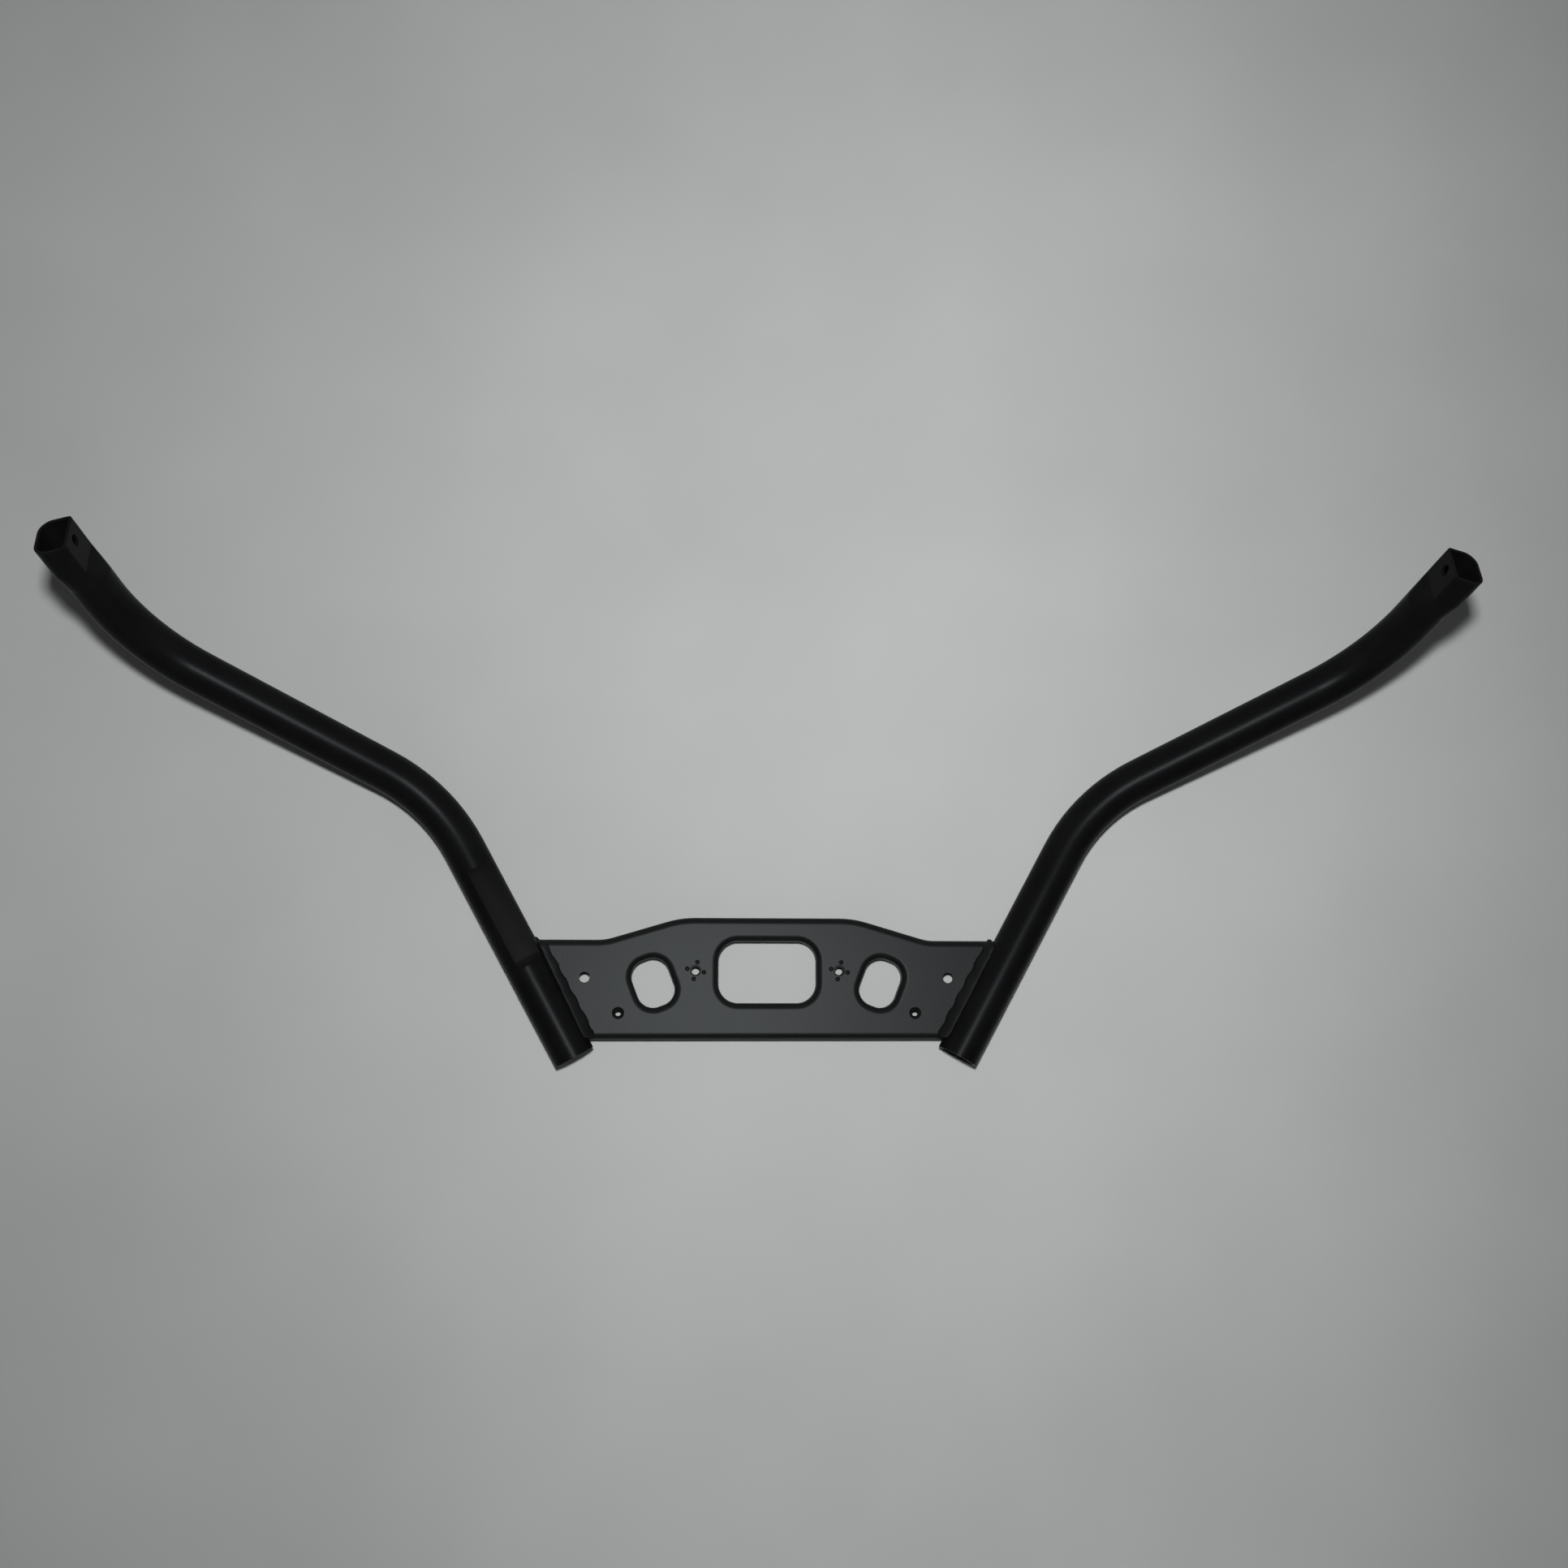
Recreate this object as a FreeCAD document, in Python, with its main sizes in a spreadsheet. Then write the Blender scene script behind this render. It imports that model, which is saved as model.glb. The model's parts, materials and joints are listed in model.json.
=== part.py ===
import FreeCAD, Part
import math
import os
import Sketcher
from FreeCAD import Placement, Rotation, Vector

# Front bumper of a quad bike: two bent tubes joined by a pressed plate.
# X runs across the machine, Z is up, and the plate's near face lies in Y = 0.
# The origin is midway between the two outer bolt holes of the plate.

doc = FreeCAD.newDocument("front_bumper")
sheet = doc.addObject("Spreadsheet::Sheet", "sizes")

# Driving dimensions in millimetres and degrees, right-hand side of the symmetric part.
SIZES = {
    # Round tube: its foot, then the leg up to the knee, the arm out to the elbow and the tip
    # beyond it, each as a run across, a reach towards the machine and a rise
    "tube_od": 25.4,
    "tube_wall": 1.8,
    "foot_x": 116.3,
    "foot_drop": 47.8,
    "leg_run": 85.9,
    "leg_rise": 156.2,
    "arm_run": 168.2,
    "arm_reach": 49.4,
    "arm_rise": 84.7,
    "tip_run": 21.9,
    "tip_reach": 72.7,
    "tip_rise": 39.7,
    "knee_radius": 105.0,
    "elbow_radius": 84.0,
    # Tip pressed towards a square, its flat on the inner side, with a bolt hole in the flat
    "press_length": 20.0,
    "press_blend": 13.0,
    "press_front": 7.3,
    "press_back": 12.0,
    "press_width": 26.4,
    "press_front_corner": 2.8,
    "press_back_corner": 8.0,
    "press_turn": 13.0,
    "press_start_angle": 12.0,
    "tip_hole": 6.5,
    "tip_hole_inset": 6.4,
    # Pressed plate
    "sheet_thick": 2.5,
    "flange_depth": 8.0,
    "rim_radius": 4.0,
    "crown_z": 36.3,
    "crown_x": 53.0,
    "crown_radius": 60.0,
    "shoulder_z": 22.7,
    "shoulder_x": 99.0,
    "shoulder_radius": 32.0,
    "plate_drop": 37.3,
    # Cut-outs
    "window_width": 60.0,
    "window_height": 37.5,
    "window_z": 3.2,
    "window_corner": 12.0,
    "slot_width": 23.2,
    "slot_length": 29.4,
    "slot_corner": 10.0,
    "slot_x": 69.7,
    "slot_drop": 3.4,
    "slot_tilt": 21.0,
    # Holes
    "bolt_hole": 6.5,
    "bolt_x": 111.2,
    "screw_hole": 3.6,
    "screw_head": 7.4,
    "screw_x": 90.6,
    "screw_drop": 21.5,
    "nut_hole": 7.0,
    "nut_x": 44.0,
    "nut_z": 4.1,
    # Square nut welded behind the plate, and its weld marks on the near face
    "nut_side": 10.0,
    "nut_thick": 5.0,
    "nut_bore": 5.0,
    "nut_edge": 0.6,
    "mark_size": 2.8,
    "mark_depth": 0.8,
    "mark_reach": 5.2,
    "mark_turn": 12.0,
    "corner_angle": 45.0,
    # Weld beads
    "weld_leg": 3.0,
}

for row, (name, value) in enumerate(SIZES.items(), start=1):
    sheet.set("A%d" % row, name)
    sheet.set("B%d" % row, str(value))
    sheet.setAlias("B%d" % row, name)
doc.recompute()


def size(name):
    return float(sheet.get(name))


def bind(target, **expressions):
    for prop, expression in expressions.items():
        target.setExpression(prop, expression)


# Axis of the right tube

TUBE_R = "sizes.tube_od / 2"
BORE_R = "sizes.tube_od / 2 - sizes.tube_wall"
AXIS_Y = size("sheet_thick") / 2

foot = Vector(size("foot_x"), AXIS_Y, -size("foot_drop"))
knee = foot + Vector(size("leg_run"), 0, size("leg_rise"))
elbow = knee + Vector(size("arm_run"), -size("arm_reach"), size("arm_rise"))
tip = elbow + Vector(size("tip_run"), -size("tip_reach"), size("tip_rise"))

leg_dir = (knee - foot).normalize()
tip_dir = (tip - elbow).normalize()
press_start = tip - tip_dir * size("press_length")
blend_start = press_start - tip_dir * size("press_blend")
# The pressed flat faces the middle of the machine and is turned a little upwards.
level_dir = Vector(tip_dir.y, -tip_dir.x, 0).normalize()
flat_turn = math.radians(size("press_turn"))
flat_dir = level_dir * math.cos(flat_turn) + level_dir.cross(tip_dir) * math.sin(flat_turn)


def axis_x(z):
    return foot.x + (z - foot.z) * size("leg_run") / size("leg_rise")


def bent_axis(points, radii):
    """Straight runs joined by tangent arcs, as a bent tube's axis is drawn."""
    edges = []
    start = points[0]
    for before, corner, after, radius in zip(points, points[1:], points[2:], radii):
        to_before = (before - corner).normalize()
        to_after = (after - corner).normalize()
        half = to_before.getAngle(to_after) / 2
        enter = corner + to_before * (radius / math.tan(half))
        leave = corner + to_after * (radius / math.tan(half))
        inward = (to_before + to_after).normalize()
        middle = corner + inward * (radius / math.sin(half) - radius)
        edges.append(Part.LineSegment(start, enter).toShape())
        edges.append(Part.Arc(enter, middle, leave).toShape())
        start = leave
    edges.append(Part.LineSegment(start, points[-1]).toShape())
    return Part.Wire(edges)


def section_frame(base):
    """Placement whose Z runs along the tip's axis and whose X faces the pressed flat."""
    side_dir = tip_dir.cross(flat_dir)
    return Placement(base, Rotation(flat_dir, side_dir, tip_dir, "ZXY"))


def pressed_half(inset):
    """Half of the pressed section: the ends of its rounds, and the middles of its rounds."""
    side = size("press_width") / 2 - inset
    front = size("press_front") - inset
    back = inset - size("press_back")
    front_r = size("press_front_corner") - inset
    back_r = size("press_back_corner") - inset
    front_center = Vector(front - front_r, side - front_r, 0)
    back_center = Vector(back + back_r, side - back_r, 0)
    ends = [
        Vector(front, front_center.y, 0),
        Vector(front_center.x, side, 0),
        Vector(back_center.x, side, 0),
        Vector(back, back_center.y, 0),
    ]
    front_middle = front_center + Vector(1, 1, 0).normalize() * front_r
    back_middle = back_center + Vector(-1, 1, 0).normalize() * back_r
    return ends, [front_middle, None, back_middle]


def round_half(radius, pressed_ends):
    """Half of the round section, split in the same directions as the pressed one."""
    angles = [math.radians(size("press_start_angle"))]
    angles += [math.atan2(end.y, end.x) for end in pressed_ends[1:]]
    middle_angles = [(a + b) / 2 for a, b in zip(angles, angles[1:])]
    ends = [Vector(radius * math.cos(a), radius * math.sin(a), 0) for a in angles]
    middles = [Vector(radius * math.cos(a), radius * math.sin(a), 0) for a in middle_angles]
    return ends, middles


def other_half(point):
    return None if point is None else Vector(point.x, -point.y, 0)


def tip_ring(name, base, half, back=None, front=None):
    """Section of the tip from its half: an edge with a middle is round, one without is straight."""
    ends, middles = half
    corners = ends + [other_half(end) for end in reversed(ends)]
    middles = middles + [back] + [other_half(middle) for middle in reversed(middles)] + [front]
    edges = []
    for start, end, middle in zip(corners, corners[1:] + corners[:1], middles):
        if middle is None:
            edges.append(Part.LineSegment(start, end).toShape())
        else:
            edges.append(Part.Arc(start, middle, end).toShape())
    ring = doc.addObject("Part::Feature", name)
    ring.Shape = Part.Wire(edges)
    ring.Placement = section_frame(base)
    return ring


# Right tube: swept outside and bore, lofted pressed tip, bolt hole

tube_axis = doc.addObject("Part::Feature", "tube_axis")
bend_radii = [size("knee_radius"), size("elbow_radius")]
tube_axis.Shape = bent_axis([foot, knee, elbow, blend_start], bend_radii)
axis_edges = ["Edge%d" % (i + 1) for i in range(len(tube_axis.Shape.Edges))]


def swept_round(name, radius):
    ring = doc.addObject("Part::Circle", name + "_ring")
    ring.Placement = Placement(foot, Rotation(Vector(0, 0, 1), leg_dir))
    bind(ring, Radius=radius)
    sweep = doc.addObject("Part::Sweep", name)
    sweep.Sections = [ring]
    sweep.Spine = (tube_axis, axis_edges)
    sweep.Solid = True
    sweep.Frenet = False
    return sweep


def pressed_end(name, inset):
    """Tip stretch from round to pressed, drawn inside the tube's skin by inset."""
    radius = size("tube_od") / 2 - inset
    pressed = pressed_half(inset)
    rounded_half = round_half(radius, pressed[0])
    back = Vector(-radius, 0, 0)
    front = Vector(radius, 0, 0)
    loft = doc.addObject("Part::Loft", name)
    loft.Sections = [
        tip_ring(name + "_round", blend_start, rounded_half, back, front),
        tip_ring(name + "_pressed", press_start, pressed),
        tip_ring(name + "_end", tip, pressed),
    ]
    loft.Solid = True
    loft.Ruled = True
    return loft


def joined(name, *pieces):
    fuse = doc.addObject("Part::MultiFuse", name)
    fuse.Shapes = list(pieces)
    return fuse


def cut(name, base, tool):
    result = doc.addObject("Part::Cut", name)
    result.Base = base
    result.Tool = tool
    return result


def mirrored(name, source):
    copy = doc.addObject("Part::Mirroring", name)
    copy.Source = source
    copy.Base = Vector(0, 0, 0)
    copy.Normal = Vector(1, 0, 0)
    copy.Label = name
    return copy


skin_tip = pressed_end("tip_outside", 0.0)
tube_skin = joined("tube_skin", swept_round("tube_outside", TUBE_R), skin_tip)
bore_tip = pressed_end("tip_bore", size("tube_wall"))
tube_void = joined("tube_void", swept_round("tube_bore", BORE_R), bore_tip)
tube_blank = cut("tube_blank", tube_skin, tube_void)

tip_drill = doc.addObject("Part::Cylinder", "tip_drill")
bind(tip_drill, Radius="sizes.tip_hole / 2", Height="sizes.tube_od")
drill_at = tip - tip_dir * size("tip_hole_inset")
tip_drill.Placement = Placement(drill_at, Rotation(Vector(0, 0, 1), flat_dir))

right_tube = cut("right_tube", tube_blank, tip_drill)
right_tube.Label = "right_tube"
left_tube = mirrored("left_tube", right_tube)
doc.recompute()

# Pressed plate

pan = doc.addObject("PartDesign::Body", "plate_pan")


def origin_plane(body, role):
    return next(item for item in body.Origin.OriginFeatures if item.Role == role)


def front_sketch(body, name):
    """Sketch in the plane of the plate's near face: X across, Y of the sketch is up."""
    sketch = body.newObject("Sketcher::SketchObject", name)
    sketch.AttachmentSupport = [(origin_plane(body, "XZ_Plane"), "")]
    sketch.MapMode = "FlatFace"
    return sketch


# The sketch's own origin, as its constraints refer to it
ORIGIN = (-1, 1)


def center_of(circle):
    """Centre point of a circle, which the sketch numbers 3."""
    return (circle, 3)


def mirror_pair(sketch, point, twin):
    """Hold two points as mirror images in the sketch's upright axis, which it numbers -2."""
    sketch.addConstraint(Sketcher.Constraint("Symmetric", *point, *twin, -2))


def dimension(sketch, kind, references, expression, value):
    index = sketch.addConstraint(Sketcher.Constraint(kind, *references, value))
    sketch.setExpression("Constraints[%d]" % index, expression)


def draw_polygon(sketch, points):
    first = sketch.GeometryCount
    count = len(points)
    for i, start in enumerate(points):
        end = points[(i + 1) % count]
        sketch.addGeometry(Part.LineSegment(Vector(*start, 0), Vector(*end, 0)))
    for i in range(count):
        following = first + (i + 1) % count
        sketch.addConstraint(Sketcher.Constraint("Coincident", first + i, 2, following, 1))
    return first


def place_point(sketch, point, across, height, at):
    """Hold a point at named distances from the origin; a leading minus means below it."""
    dimension(sketch, "DistanceX", ORIGIN + point, across, at[0])
    if height.startswith("-"):
        dimension(sketch, "DistanceY", point + ORIGIN, height[1:], -at[1])
    else:
        dimension(sketch, "DistanceY", ORIGIN + point, height, at[1])


def end_x(height):
    """Where the tube's axis passes a height, as an expression of the sheet."""
    return "sizes.foot_x + (%s + sizes.foot_drop) * sizes.leg_run / sizes.leg_rise" % height


bottom_z = -size("plate_drop")
shoulder_z = size("shoulder_z")
right_side = [
    (axis_x(bottom_z), bottom_z),
    (axis_x(shoulder_z), shoulder_z),
    (size("shoulder_x"), shoulder_z),
    (size("crown_x"), size("crown_z")),
]
left_side = [(-x, z) for x, z in reversed(right_side)]

outline = front_sketch(pan, "plate_outline")
draw_polygon(outline, right_side + left_side)
last_line = len(right_side + left_side) - 1
for i in range(len(right_side)):
    mirror_pair(outline, (i, 1), (last_line - i, 1))
place_point(outline, (0, 1), end_x("-sizes.plate_drop"), "-sizes.plate_drop", right_side[0])
place_point(outline, (1, 1), end_x("sizes.shoulder_z"), "sizes.shoulder_z", right_side[1])
place_point(outline, (2, 1), "sizes.shoulder_x", "sizes.shoulder_z", right_side[2])
place_point(outline, (3, 1), "sizes.crown_x", "sizes.crown_z", right_side[3])

blank = pan.newObject("PartDesign::Pad", "plate_blank")
blank.Profile = outline
blank.Reversed = True
bind(blank, Length="sizes.flange_depth")
doc.recompute()


def rectangle(center, width, height, tilt):
    """Corners of a rectangle turned by tilt degrees, clockwise positive."""
    turn = math.radians(-tilt)
    corners = []
    for across, up in ((-1, -1), (1, -1), (1, 1), (-1, 1)):
        x = across * width / 2
        z = up * height / 2
        turned_x = x * math.cos(turn) - z * math.sin(turn)
        turned_z = x * math.sin(turn) + z * math.cos(turn)
        corners.append((center[0] + turned_x, center[1] + turned_z))
    return corners


def draw_rectangle(sketch, corners, width, height):
    """Four square sides with their two lengths, and a construction point at the centre."""
    first = draw_polygon(sketch, corners)
    for i in range(3):
        sketch.addConstraint(Sketcher.Constraint("Perpendicular", first + i, first + i + 1))
    dimension(sketch, "Distance", (first,), width, math.dist(corners[0], corners[1]))
    dimension(sketch, "Distance", (first + 1,), height, math.dist(corners[1], corners[2]))
    middle = [(corners[0][k] + corners[2][k]) / 2 for k in (0, 1)]
    center = sketch.addGeometry(Part.Point(Vector(*middle, 0)), True)
    sketch.addConstraint(Sketcher.Constraint("Symmetric", first, 1, first + 2, 1, center, 1))
    return first, center


window_center = (0.0, size("window_z"))
window_corners = rectangle(window_center, size("window_width"), size("window_height"), 0.0)
slot_center = (size("slot_x"), -size("slot_drop"))
slot_corners = rectangle(slot_center, size("slot_width"), size("slot_length"), size("slot_tilt"))
far_slot_corners = [(-x, z) for x, z in slot_corners]

openings = front_sketch(pan, "plate_openings")
side, middle = draw_rectangle(openings, window_corners, "sizes.window_width", "sizes.window_height")
openings.addConstraint(Sketcher.Constraint("Horizontal", side))
openings.addConstraint(Sketcher.Constraint("Vertical", middle, 1, *ORIGIN))
dimension(openings, "DistanceY", ORIGIN + (middle, 1), "sizes.window_z", size("window_z"))
side, middle = draw_rectangle(openings, slot_corners, "sizes.slot_width", "sizes.slot_length")
upright = "90 - sizes.slot_tilt"
dimension(openings, "Angle", (side + 1,), upright, math.radians(90 - size("slot_tilt")))
place_point(openings, (middle, 1), "sizes.slot_x", "-sizes.slot_drop", slot_center)
far_side = draw_polygon(openings, far_slot_corners)
for i in range(len(far_slot_corners)):
    mirror_pair(openings, (side + i, 1), (far_side + i, 1))

pierced = pan.newObject("PartDesign::Pocket", "plate_pierced")
pierced.Profile = openings
pierced.Type = "ThroughAll"
pierced.Midplane = True
doc.recompute()

NEAR = 0.01


def upright_edges(feature, places):
    """Edges square to the plate's face that pass through the given places of the sketch."""
    names = []
    for i, edge in enumerate(feature.Shape.Edges):
        ends = [vertex.Point for vertex in edge.Vertexes]
        if len(ends) != 2 or (ends[0] - ends[1]).cross(Vector(0, 1, 0)).Length > NEAR:
            continue
        if any(math.hypot(ends[0].x - x, ends[0].z - z) < NEAR for x, z in places):
            names.append("Edge%d" % (i + 1))
    return names


def filleted(base, name, edges, radius):
    fillet = pan.newObject("PartDesign::Fillet", name)
    fillet.Base = (base, edges)
    bind(fillet, Radius=radius)
    doc.recompute()
    return fillet


def rounded(base, name, corners, radius):
    """Round the corners of the outline or of a cut-out."""
    return filleted(base, name, upright_edges(base, corners), radius)


def both_sides(place):
    return [place, (-place[0], place[1])]


body = rounded(pierced, "crown_round", both_sides(right_side[3]), "sizes.crown_radius")
body = rounded(body, "shoulder_round", both_sides(right_side[2]), "sizes.shoulder_radius")
body = rounded(body, "window_round", window_corners, "sizes.window_corner")
body = rounded(body, "slot_round", slot_corners + far_slot_corners, "sizes.slot_corner")


def on_end(point):
    return abs(abs(point.x) - axis_x(point.z)) < NEAR


near_edges = []
for i, edge in enumerate(body.Shape.Edges):
    in_face = edge.BoundBox.YMax < NEAR
    if in_face and not on_end(edge.CenterOfMass):
        near_edges.append("Edge%d" % (i + 1))
body = filleted(body, "rolled_rims", near_edges, "sizes.rim_radius")

open_faces = []
for i, face in enumerate(body.Shape.Faces):
    at_back = face.BoundBox.YMin > size("flange_depth") - NEAR
    if at_back or on_end(face.CenterOfMass):
        open_faces.append("Face%d" % (i + 1))

shell = pan.newObject("PartDesign::Thickness", "pressed_shell")
shell.Base = (body, open_faces)
shell.Reversed = True
shell.Mode = 0
shell.Join = 0
bind(shell, Value="sizes.sheet_thick")
doc.recompute()

# Bolt, screw and nut holes of the right half, mirrored to the left one

holes = front_sketch(pan, "plate_holes")
hole_places = [
    ("bolt_hole", "sizes.bolt_x", "", (size("bolt_x"), 0.0)),
    ("screw_hole", "sizes.screw_x", "-sizes.screw_drop", (size("screw_x"), -size("screw_drop"))),
    ("nut_hole", "sizes.nut_x", "sizes.nut_z", (size("nut_x"), size("nut_z"))),
]
for name, across, height, at in hole_places:
    circle = holes.addGeometry(Part.Circle(Vector(*at, 0), Vector(0, 0, 1), size(name) / 2))
    center = center_of(circle)
    dimension(holes, "Diameter", (circle,), "sizes." + name, size(name))
    if height:
        place_point(holes, center, across, height, at)
    else:
        holes.addConstraint(Sketcher.Constraint("Horizontal", *center, *ORIGIN))
        dimension(holes, "DistanceX", ORIGIN + center, across, at[0])
drilled = pan.newObject("PartDesign::Pocket", "plate_drilled")
drilled.Profile = holes
drilled.Type = "ThroughAll"
drilled.Midplane = True

doc.recompute()

both_halves = pan.newObject("PartDesign::Mirrored", "both_halves")
both_halves.Originals = [drilled]
both_halves.MirrorPlane = (origin_plane(pan, "YZ_Plane"), [""])
pan.Tip = both_halves
doc.recompute()

screw_rims = []
for i, edge in enumerate(both_halves.Shape.Edges):
    in_face = edge.BoundBox.YMax < NEAR
    radius = getattr(edge.Curve, "Radius", 0.0)
    if in_face and abs(radius - size("screw_hole") / 2) < NEAR:
        screw_rims.append("Edge%d" % (i + 1))
countersunk = pan.newObject("PartDesign::Chamfer", "screw_seats")
countersunk.Base = (both_halves, screw_rims)
bind(countersunk, Size="(sizes.screw_head - sizes.screw_hole) / 2")
pan.Tip = countersunk
doc.recompute()


def ball(name, center, radius):
    sphere = doc.addObject("Part::Sphere", name)
    bind(sphere, Radius=radius)
    sphere.Placement = Placement(center, Rotation())
    return sphere


# Round dents of four spot welds about each nut hole, turned the same way on both sides

DENT_R = "(sizes.mark_size ^ 2 / 4 + sizes.mark_depth ^ 2) / (2 * sizes.mark_depth)"
dent_r = (size("mark_size") ** 2 / 4 + size("mark_depth") ** 2) / (2 * size("mark_depth"))
dent_y = size("mark_depth") - dent_r
dents = []
for side, nut_at in (("right", size("nut_x")), ("left", -size("nut_x"))):
    for quarter in range(4):
        turn = quarter * math.pi / 2 - math.radians(size("mark_turn"))
        dent_x = nut_at + size("mark_reach") * math.cos(turn)
        dent_z = size("nut_z") + size("mark_reach") * math.sin(turn)
        name = "%s_dent_%d" % (side, quarter + 1)
        dents.append(ball(name, Vector(dent_x, dent_y, dent_z), DENT_R))

# The plate's ends follow the round of the two tubes.

leg_skin = doc.addObject("Part::Cylinder", "leg_skin")
bind(leg_skin, Radius=TUBE_R, Height="sizes.leg_rise")
leg_skin.Placement = Placement(foot - leg_dir * size("tube_od"), Rotation(Vector(0, 0, 1), leg_dir))
far_leg_skin = mirrored("far_leg_skin", leg_skin)
center_plate = cut("center_plate", pan, joined("copes_and_dents", leg_skin, far_leg_skin, *dents))
center_plate.Label = "center_plate"
doc.recompute()


def weld_nut(label, across):
    """Square nut behind the plate, its corners at the spot welds."""
    nut = doc.addObject("PartDesign::Body", label)
    face = front_sketch(nut, label + "_face")
    corners = rectangle((0.0, 0.0), size("nut_side"), size("nut_side"), 0.0)
    side, middle = draw_rectangle(face, corners, "sizes.nut_side", "sizes.nut_side")
    face.addConstraint(Sketcher.Constraint("Horizontal", side))
    face.addConstraint(Sketcher.Constraint("Coincident", middle, 1, *ORIGIN))
    bore = face.addGeometry(Part.Circle(Vector(0, 0, 0), Vector(0, 0, 1), size("nut_bore") / 2))
    face.addConstraint(Sketcher.Constraint("Coincident", *center_of(bore), *ORIGIN))
    dimension(face, "Diameter", (bore,), "sizes.nut_bore", size("nut_bore"))
    block = nut.newObject("PartDesign::Pad", label + "_block")
    block.Profile = face
    block.Reversed = True
    bind(block, Length="sizes.nut_thick")
    doc.recompute()
    far_edges = []
    for i, edge in enumerate(block.Shape.Edges):
        if edge.BoundBox.YMin > size("nut_thick") - NEAR:
            far_edges.append("Edge%d" % (i + 1))
    broken = nut.newObject("PartDesign::Chamfer", label + "_edges")
    broken.Base = (block, far_edges)
    bind(broken, Size="sizes.nut_edge")
    nut_turn = size("corner_angle") + size("mark_turn")
    nut.Placement = Placement(Vector(0, 0, 0), Rotation(Vector(0, 1, 0), nut_turn))
    nut.setExpression("Placement.Base.x", across)
    nut.setExpression("Placement.Base.y", "sizes.sheet_thick")
    nut.setExpression("Placement.Base.z", "sizes.nut_z")
    nut.setExpression("Placement.Rotation.Angle", "sizes.corner_angle + sizes.mark_turn")
    return nut


right_weld_nut = weld_nut("right_weld_nut", "sizes.nut_x")
left_weld_nut = weld_nut("left_weld_nut", "-sizes.nut_x")
doc.recompute()

# Weld beads of the right joint, mirrored to the left one

inward = Vector(-leg_dir.z, 0, leg_dir.x)


def joint_point(y, z):
    """Point of the tube's skin on the plate's side, at depth y and height z."""
    out = math.sqrt((size("tube_od") / 2) ** 2 - (y - AXIS_Y) ** 2)
    along = (z - foot.z - out * inward.z) / leg_dir.z
    return Vector(foot.x, y, foot.z) + leg_dir * along + inward * out


def bead(name, low, high):
    """Round bar with round ends along a joint."""
    bar = doc.addObject("Part::Cylinder", name + "_bar")
    bind(bar, Radius="sizes.weld_leg")
    bar.Height = (high - low).Length
    bar.Placement = Placement(low, Rotation(Vector(0, 0, 1), high - low))
    ends = [ball(name + "_low", low, "sizes.weld_leg"), ball(name + "_high", high, "sizes.weld_leg")]
    return [bar] + ends


def half_space(name, near_y, depth):
    """Block that hides everything on one side of a plane square to Y."""
    block = doc.addObject("Part::Box", name)
    span = 2 * tip.x
    block.Length = span
    block.Width = depth
    block.Height = span
    block.Placement = Placement(Vector(-span / 2, near_y, -span / 2), Rotation())
    return block


def seated_bead(label, pieces, hidden):
    solid = joined(label + "_metal", *pieces)
    solid = cut(label + "_on_tube", solid, leg_skin)
    solid = cut(label + "_on_plate", solid, center_plate)
    solid = cut(label, solid, hidden)
    solid.Label = label
    return solid


back_y = size("sheet_thick")
hidden_depth = 2 * size("tube_od")
low_z = bottom_z + size("weld_leg")
front_metal = bead("front_bead", joint_point(0.0, low_z), joint_point(0.0, shoulder_z))
inner_gap = size("rim_radius") + size("weld_leg")
back_low = joint_point(back_y, bottom_z + inner_gap)
back_high = joint_point(back_y, shoulder_z - inner_gap)
back_metal = bead("back_bead", back_low, back_high)
behind = half_space("behind", back_y, hidden_depth)
ahead = half_space("ahead", back_y - hidden_depth, hidden_depth)
right_front_weld = seated_bead("right_front_weld", front_metal, behind)
right_back_weld = seated_bead("right_back_weld", back_metal, ahead)
left_front_weld = mirrored("left_front_weld", right_front_weld)
left_back_weld = mirrored("left_back_weld", right_back_weld)
doc.recompute()

# Every object is sound before anything is written.

sub_parts = [
    left_tube,
    right_tube,
    center_plate,
    left_front_weld,
    right_front_weld,
    left_back_weld,
    right_back_weld,
    left_weld_nut,
    right_weld_nut,
]
for item in doc.Objects:
    if "Invalid" in item.State or "Error" in item.State:
        raise RuntimeError("%s did not build: %s" % (item.Label, item.State))
for item in sub_parts:
    if item.Shape.isNull() or not item.Shape.isValid():
        raise RuntimeError("%s has no sound shape" % item.Label)

os.makedirs("parts", exist_ok=True)
for item in sub_parts:
    item.Shape.exportStep("parts/%s.step" % item.Label)
    box = item.Shape.BoundBox
    print("%s: %d solid(s), %.0f mm3, %.1f x %.1f x %.1f mm" % (
        item.Label, len(item.Shape.Solids), item.Shape.Volume, box.XLength, box.YLength, box.ZLength))
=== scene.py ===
# %% [markdown]
# # A quad-bike front bumper
#
# The real part is a small weldment: two bent steel tubes that spread like antlers, one
# pressed plate between their legs, weld beads at the joints and two nuts behind the plate.
# It is sprayed all over with black powder and baked. The solids come from the CAD model, and
# this lesson dresses them: the finish first, then the pieces that plain solids show too simply.
# All lengths are in metres.

import json
import math
import random

import bmesh
import bpy
from mathutils import Matrix, Vector

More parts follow.
